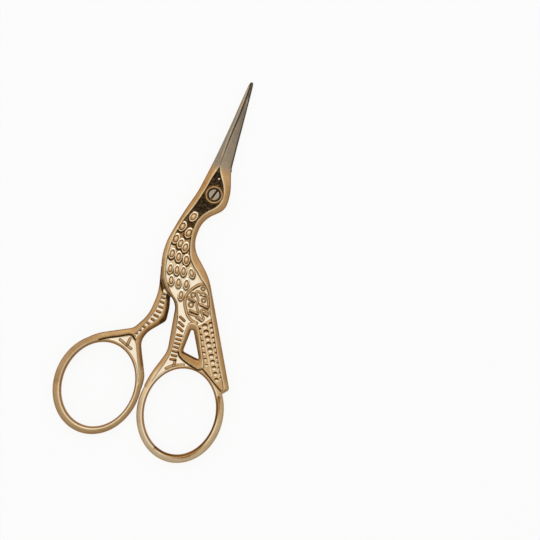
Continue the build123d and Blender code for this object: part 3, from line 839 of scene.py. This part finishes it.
def make_half(half):
    loops = half.loops
    rows, need = [], []
    for loop in loops:
        n = normals(loop)
        for d in EDGE_ROWS:
            rows.append(loop + n * d)
            need.append(np.full(len(loop), d))
    rows, need = np.vstack(rows), np.concatenate(need)
    rows = rows[distance(rows, loops) > need - 0.012]
    fields = list({id(f): f for f in half.fields["top"] + half.fields["low"]}.values())
    lines = [ring_loop(half.side, CREST, 0.2)] + [resampled(f, 0.16, True) for f in fields]
    for line in lines:
        line = counter_clockwise(line)
        n = normals(line)
        rows = np.vstack([rows] + [line + n * d for d in FIELD_ROWS])
    ys = np.arange(6.0, 35.2, 0.2)
    ridge = np.interp(ys, RIDGE_Y, RIDGE_X)
    if half.mirrored:
        ridge = mirrored_x(ridge, ys)
    rows = np.vstack([rows] + [np.c_[ridge + d, ys] for d in RIDGE_ROWS])
    rows = np.vstack([rows] + [circle(r, 96) for r in BOSS_RADII])
    low, high = half.outer.min(0), half.outer.max(0)
    coarse = hexagons(low, high, PLAIN_STEP)
    coarse = coarse[inside(coarse, half.outer)]
    coarse = coarse[distance(coarse, loops) > 0.75]
    fine = []
    for field in fields:
        grid = hexagons(field.min(0), field.max(0), FIELD_STEP)
        sparse = hexagons(field.min(0), field.max(0), PANEL_STEP)
        grid = np.vstack([grid[~plain_panel(grid)], sparse[plain_panel(sparse)]])
        grid = grid[inside(grid, field)]
        fine.append(grid[distance(grid, [field]) > 0.34])
    for field in fields:
        coarse = coarse[~inside(coarse, field)]
    free = np.vstack([coarse] + fine)
    step_in = offset_line(half.other, STEP_GAP - 0.015)
    step_out = offset_line(half.other, STEP_GAP + 0.015)
    constrained = [step_in, step_out]
    if half.side == 1:
        constrained += [circle(2.10, 96), circle(2.125, 96)]
    all_rows = np.vstack([rows, free])
    clear = distance(all_rows, [step_in, step_out]) > 0.03
    rim_clear = distance(all_rows, loops) > 0.03
    all_rows = all_rows[clear & rim_clear]

    def is_lap(points):
        lap = inside(points, half.other)
        near = distance(points, [half.other]) < STEP_GAP
        return lap | near

    def top(points):
        if half.side == 1:
            height, tone, dark, steel = half.face(points, "top", np.zeros(len(points), bool))
            r = np.hypot(*points.T)
            # The seat round the screw painted in shade.
            seat = r < SEAT_RADIUS
            return (np.where(seat, SEAT_FLOOR, height), np.where(seat, 0.4, tone),
                    np.where(seat, 0.65, dark), steel)
        lap = is_lap(points) | (points[:, 1] > BLADE_START)
        return half.face(points, "top", lap)

    def low(points):
        if half.side == 1:
            lap = is_lap(points) | (points[:, 1] > BLADE_START)
            return half.face(points, "low", lap)
        return half.face(points, "low", np.zeros(len(points), bool))

    return build(half.name, loops, all_rows, constrained, top, low)


front_lines = ([(wing_bound, 0.74, 0.66)] + [(line, 0.60, 0.66) for line in meander]
               + [(line, 0.66, 1.0) for line in marks_front])
back_lines = [(line, 0.68, 1.0) for line in marks_back]
front_extra = (feathers, front_lines, leg_bars, eyelets, dimples)
back_extra = ([], back_lines, kneed_bars, [], [])
under_feathers = [f for f in feathers if inside(np.array([f[:2]]), back_field)[0]
                  and distance(np.array([f[:2]]), [back_field])[0] > 0.75]
far_feathers = [f for f in feathers if not inside(np.array([f[:2]]), back_figure)[0]]

front = Half("front_half_cast", 1, front_figure, back_figure, False,
             [window_hole, circle(1.49, 72)],
             [front_field], [front_field],
             {"top": front_extra, "low": (far_feathers,) + front_extra[1:]})
back = Half("back_half_cast", -1, back_figure, front_figure, True,
            [circle(1.47, 72)],
            [leg_field, web_field], [back_field, leg_field, web_field],
            {"top": back_extra, "low": (under_feathers,) + back_extra[1:]})
front_piece = make_half(front)
back_piece = make_half(back)


def make_screw():
    turn = radians(72)
    along = np.array([cos(turn), sin(turn)])
    over = np.array([-along[1], along[0]])
    rings = [circle(r, 96) for r in (0.25, 0.6, 1.0, 1.3, 1.42, 1.47, 1.52, 1.62, 1.75, 1.85, 1.91)]
    free = hexagons((-1.9, -1.9), (1.9, 1.9), 0.11)
    free = free[np.hypot(*free.T) < 1.3]
    ts = np.linspace(-2.2, 2.2, 60)[:, None]
    walls = [ts * along + over * d for d in (-0.32, -0.295, 0.295, 0.32)]
    rows = np.vstack(rings + [free] + walls)
    rows = rows[np.hypot(*rows.T) < 1.93]

    def top(points):
        r = np.hypot(*points.T)
        off = np.abs(points @ over)
        dome = THICK - 0.03 * (r / 1.5) ** 2 - 0.40 * smooth(1.46, 1.92, r) ** 1.2
        cut = 1 - smooth(0.296, 0.319, off)
        height = dome - (dome - (THICK - 0.42)) * cut
        slot = off < 0.31
        # The slot painted in shade, darkest at one end, and the head's rounded rim painted darker.
        tone = np.where(slot, 0.085, 0.67 - 0.35 * smooth(1.45, 1.8, r))
        slot_shade = 1.0 - 0.62 * smooth(0.5, 1.4, -(points @ along))
        dark = np.maximum(slot_shade * slot, 0.62 * smooth(1.62, 1.86, r))
        return height, tone, dark, 1.0 - slot

    def low(points):
        r = np.hypot(*points.T)
        height = np.where(r < 1.445, 0.10 * smooth(1.28, 1.445, r) + 0.02, 2.80)
        return height, np.full(len(r), 0.7), np.zeros(len(r)), np.ones(len(r))

    return build("pivot_screw_turned", [circle(1.95, 120)], rows,
                 [circle(1.44, 96), circle(1.455, 96)], top, low)


screw_piece = make_screw()


# Materials

def nodes_of(name):
    material = bpy.data.materials.new(name)
    material.use_nodes = True
    tree = material.node_tree
    tree.nodes.clear()
    out = tree.nodes.new("ShaderNodeOutputMaterial")
    shader = tree.nodes.new("ShaderNodeBsdfPrincipled")
    tree.links.new(shader.outputs[0], out.inputs[0])
    return material, tree, shader


def noise(tree, vector, scale, detail=3.0, roughness=0.55):
    node = tree.nodes.new("ShaderNodeTexNoise")
    node.inputs["Scale"].default_value = scale
    node.inputs["Detail"].default_value = detail
    node.inputs["Roughness"].default_value = roughness
    tree.links.new(vector, node.inputs["Vector"])
    return node.outputs["Fac"]


def mapped(tree, vector, scale, turn=0.0):
    node = tree.nodes.new("ShaderNodeMapping")
    node.inputs["Scale"].default_value = scale
    node.inputs["Rotation"].default_value = (0, 0, turn)
    tree.links.new(vector, node.inputs["Vector"])
    return node.outputs["Vector"]


def math(tree, operation, a, b=None, c=None, clamp=False):
    node = tree.nodes.new("ShaderNodeMath")
    node.operation = operation
    node.use_clamp = clamp
    for i, value in enumerate((a, b, c)):
        if value is None:
            continue
        if isinstance(value, (int, float)):
            node.inputs[i].default_value = value
        else:
            tree.links.new(value, node.inputs[i])
    return node.outputs[0]


def spread(tree, value, a, b, c, d):
    node = tree.nodes.new("ShaderNodeMapRange")
    for i, number in zip((1, 2, 3, 4), (a, b, c, d)):
        node.inputs[i].default_value = number
    tree.links.new(value, node.inputs[0])
    return node.outputs[0]


def ramp(tree, value, stops):
    node = tree.nodes.new("ShaderNodeValToRGB")
    elements = node.color_ramp.elements
    while len(elements) < len(stops):
        elements.new(0.5)
    for element, (at, colour) in zip(elements, stops):
        element.position = at
        element.color = (*colour, 1)
    tree.links.new(value, node.inputs[0])
    return node.outputs[0]


def mix(tree, factor, a, b, blend="MIX"):
    node = tree.nodes.new("ShaderNodeMix")
    node.data_type = "RGBA"
    node.blend_type = blend
    for socket, value in ((node.inputs[0], factor), (node.inputs[6], a), (node.inputs[7], b)):
        if isinstance(value, (int, float)):
            socket.default_value = value
        elif isinstance(value, tuple):
            socket.default_value = (*value, 1)
        else:
            tree.links.new(value, socket)
    return node.outputs[2]


def attribute(tree, name):
    node = tree.nodes.new("ShaderNodeAttribute")
    node.attribute_name = name
    return node.outputs["Fac"]


def plated_metal(name, steels):
    """Gold plating that wears to brushed steel along the blades, with painted shade and light from the
    tone and dark attributes.
    """
    material, tree, shader = nodes_of(name)
    coords = tree.nodes.new("ShaderNodeTexCoord").outputs["Object"]
    cloud = noise(tree, coords, 260.0, 4.0)
    mottle = noise(tree, coords, 1500.0, 4.0, 0.65)
    grain = noise(tree, coords, 6500.0, 2.0)
    brushed = noise(tree, mapped(tree, coords, (2600.0, 900.0, 900.0), radians(38)), 3.0, 3.0)
    tone = attribute(tree, "tone")
    toned = math(tree, "ADD", tone, spread(tree, mottle, 0.3, 0.7, -0.04, 0.04), clamp=True)
    toned = math(tree, "ADD", toned, spread(tree, cloud, 0.3, 0.7, -0.05, 0.05), clamp=True)
    gold = ramp(tree, toned, [
        (0.00, (0.17, 0.072, 0.016)),
        (0.25, (0.412, 0.200, 0.062)),
        (0.50, (0.595, 0.380, 0.184)),
        (0.75, (0.80, 0.61, 0.365)),
        (1.00, (0.97, 0.84, 0.655)),
    ])
    steel = ramp(tree, spread(tree, brushed, 0.3, 0.7, 0.0, 1.0), [
        (0.0, steels[0]), (0.5, steels[1]), (1.0, steels[2])])
    # The steel takes the painted light and shade of the tone.
    steel = mix(tree, 1.0, steel, spread(tree, tone, 0.0, 1.0, 0.4, 1.25), "MULTIPLY")
    share = math(tree, "ADD", attribute(tree, "steel"), spread(tree, cloud, 0.3, 0.7, -0.25, 0.25),
                 clamp=True)
    share = math(tree, "MULTIPLY", share, attribute(tree, "steel"), clamp=True)
    colour = mix(tree, share, gold, steel)
    # Painted shade from the dark attribute, mottled, mixed towards near black.
    painted_shade = math(tree, "MULTIPLY", attribute(tree, "dark"),
                 spread(tree, mottle, 0.30, 0.70, 1.15, 0.80), clamp=True)
    colour = mix(tree, painted_shade, colour, (0.015, 0.011, 0.006))
    tree.links.new(colour, shader.inputs["Base Color"])
    shader.inputs["Metallic"].default_value = 1.0
    rough = math(tree, "ADD", spread(tree, mottle, 0.3, 0.7, 0.20, 0.31),
                 spread(tree, toned, 0.4, 1.0, 0.10, -0.04))
    tree.links.new(rough, shader.inputs["Roughness"])
    height = math(tree, "ADD", math(tree, "MULTIPLY", grain, 0.35),
                  math(tree, "ADD", math(tree, "MULTIPLY", brushed, 0.5), mottle))
    bump = tree.nodes.new("ShaderNodeBump")
    bump.inputs["Strength"].default_value = 0.20
    bump.inputs["Distance"].default_value = 0.00004
    tree.links.new(height, bump.inputs["Height"])
    tree.links.new(bump.outputs[0], shader.inputs["Normal"])
    return material


gold_steel = plated_metal(
    "gold_plated_cast_steel", ((0.366, 0.288, 0.208), (0.460, 0.370, 0.270), (0.58, 0.485, 0.362)))
bright_steel = plated_metal(
    "turned_steel", ((0.27, 0.225, 0.16), (0.37, 0.315, 0.235), (0.74, 0.65, 0.51)))

for piece, node, body, slot, material in (
    (front_piece, "front_half", "front", "gold_plated_steel", gold_steel),
    (back_piece, "back_half", "back", "gold_plated_steel", gold_steel),
    (screw_piece, "pivot_screw", "back", "gold_plated_screw", bright_steel),
):
    piece.data.materials.append(material)
    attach(piece, body)
    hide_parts(node)

# Floor, light and camera
FLOOR_REACH = 3
FLOOR_WHITE = 0.90
floor_mesh = bpy.data.meshes.new("floor")
floor_mesh.from_pydata(
    [(x * FLOOR_REACH, y * FLOOR_REACH, 0) for x, y in ((-1, -1), (1, -1), (1, 1), (-1, 1))],
    [], [(0, 1, 2, 3)])
floor = bpy.data.objects.new("floor", floor_mesh)
bpy.context.scene.collection.objects.link(floor)
floor_material, tree, shader = nodes_of("pale_floor")
shader.inputs["Base Color"].default_value = (0.95, 0.95, 0.95, 1)
shader.inputs["Roughness"].default_value = 0.9
shader.inputs["Specular IOR Level"].default_value = 0.1
glow = tree.nodes.new("ShaderNodeEmission")
glow.inputs["Color"].default_value = (1, 1, 1, 1)
glow.inputs["Strength"].default_value = 1.0
path = tree.nodes.new("ShaderNodeLightPath")
seen = math(tree, "ADD", path.outputs["Is Camera Ray"], path.outputs["Is Glossy Ray"], clamp=True)
seen = math(tree, "ADD", seen, path.outputs["Is Transmission Ray"], clamp=True)
seen = math(tree, "MULTIPLY", seen, FLOOR_WHITE)
blend = tree.nodes.new("ShaderNodeMixShader")
output = [n for n in tree.nodes if n.type == "OUTPUT_MATERIAL"][0]
tree.links.new(seen, blend.inputs[0])
tree.links.new(shader.outputs[0], blend.inputs[1])
tree.links.new(glow.outputs[0], blend.inputs[2])
tree.links.new(blend.outputs[0], output.inputs[0])
floor_mesh.materials.append(floor_material)

world = bpy.data.worlds.new("studio")
bpy.context.scene.world = world
world.use_nodes = True
# a studio tent, brightest overhead and towards the blades' side
tree = world.node_tree
ray = tree.nodes.new("ShaderNodeTexCoord").outputs["Generated"]
facing = tree.nodes.new("ShaderNodeVectorMath")
facing.operation = "DOT_PRODUCT"
facing.inputs[1].default_value = Vector((-0.08, 0.22, 0.96)).normalized()
tree.links.new(ray, facing.inputs[0])
level = spread(tree, facing.outputs["Value"], 0.1, 1.0, 0.0, 1.0)
level = math(tree, "MULTIPLY", level, level)
level = math(tree, "MULTIPLY_ADD", level, 0.63, 0.38)
tree.links.new(level, tree.nodes["Background"].inputs[1])
tree.nodes["Background"].inputs[0].default_value = (1.0, 0.99, 0.97, 1)


def lamp(name, place, aim, size, power):
    data = bpy.data.lights.new(name, "AREA")
    data.shape = "RECTANGLE"
    data.size, data.size_y = size
    data.energy = power
    obj = bpy.data.objects.new(name, data)
    bpy.context.scene.collection.objects.link(obj)
    obj.location = place
    obj.rotation_euler = (Vector(aim) - Vector(place)).to_track_quat("-Z", "Y").to_euler()


aim = (0.0, -0.02, 0.0)
lamp("softbox_above", (-0.10, 0.40, 0.75), aim, (0.40, 0.30), 0.45)
lamp("softbox_left", (-0.60, 0.05, 0.50), aim, (0.20, 0.4), 0.20)

# The camera looks straight down, with the blades leaning to the right in the frame
camera_data = bpy.data.cameras.new("camera")
camera = bpy.data.objects.new("camera", camera_data)
bpy.context.scene.collection.objects.link(camera)
CAMERA_HEIGHT = 1.3
FRAME_WIDTH = 0.1609
FRAME_MIDDLE = (0.0229, -0.0158)
camera_data.sensor_width = 36.0
camera_data.lens = 36.0 * CAMERA_HEIGHT / FRAME_WIDTH
camera_data.clip_start = 0.05
camera_data.clip_end = 20.0
right_axis = Vector((UP[1], -UP[0], 0.0))
up_axis = Vector((UP[0], UP[1], 0.0))
turn = Matrix((right_axis, up_axis, Vector((0, 0, 1)))).transposed()
camera.matrix_world = Matrix.Translation((*FRAME_MIDDLE, CAMERA_HEIGHT)) @ turn.to_4x4()
bpy.context.scene.camera = camera
bpy.context.scene.view_settings.view_transform = "Standard"
